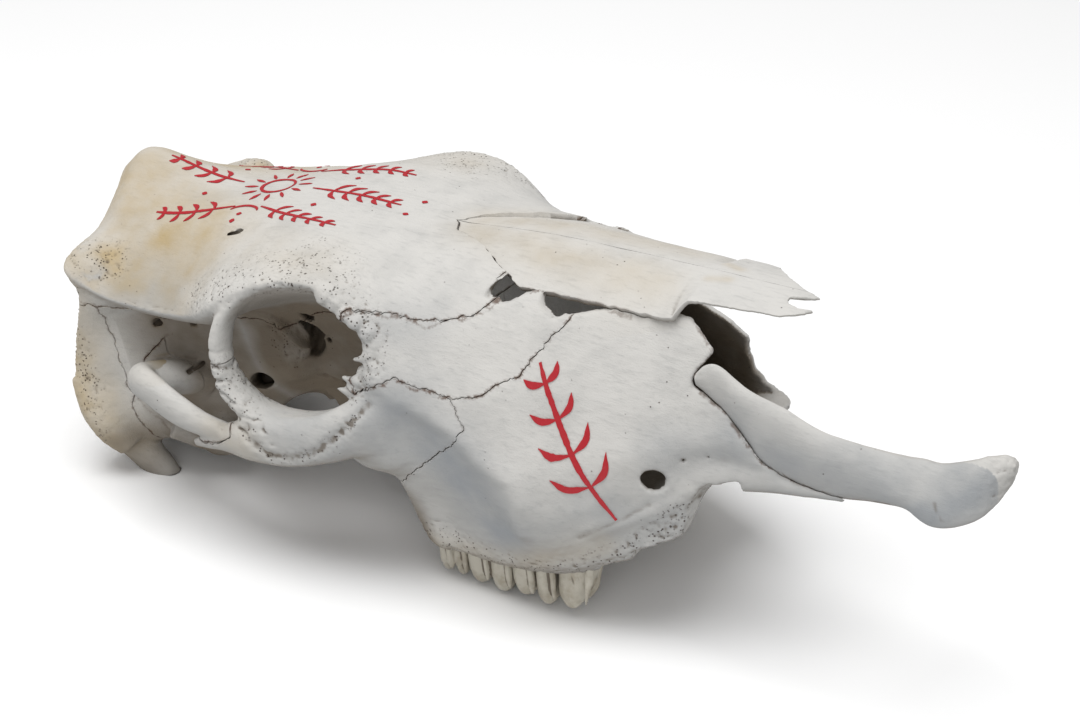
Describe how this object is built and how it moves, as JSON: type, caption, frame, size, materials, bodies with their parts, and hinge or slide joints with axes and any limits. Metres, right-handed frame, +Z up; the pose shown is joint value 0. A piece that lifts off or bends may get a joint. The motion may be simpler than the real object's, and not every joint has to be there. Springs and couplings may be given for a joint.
{
  "type": "cow skull",
  "caption": "Polled cow's skull without its lower jaw, dry and bleached, lying nose up on its cheek teeth, with red painted sprigs on brow and cheek.",
  "frame": {"origin": "middle of the bounding box at floor level, under the skull as it rests", "axes": "+X to the muzzle, +Y to the animal's left, +Z up from the floor"},
  "size_m": [0.4946, 0.2, 0.1677],
  "materials": {
    "bone_pale": "bleached dry bone, off-white, matt, finely pitted",
    "bone_grey": "greyer dry bone, matt",
    "bone_stained": "dry bone with warm cream and tan stains, matt",
    "tooth_enamel": "beige-grey worn enamel, slightly satin",
    "red_paint": "thin deep red paint, matt"
  },
  "bodies": {
    "root": {"frontal": "bone_pale", "occipital": "bone_stained", "braincase": "bone_grey", "temporal_right": "bone_pale", "temporal_left": "bone_pale", "zygomatic_right": "bone_pale", "zygomatic_left": "bone_pale", "lacrimal_right": "bone_pale", "lacrimal_left": "bone_pale", "maxilla_right": "bone_pale", "maxilla_left": "bone_pale", "nasal_right": "bone_pale", "nasal_left": "bone_pale", "premaxilla_right": "bone_grey"}
  },
  "joints": []
}
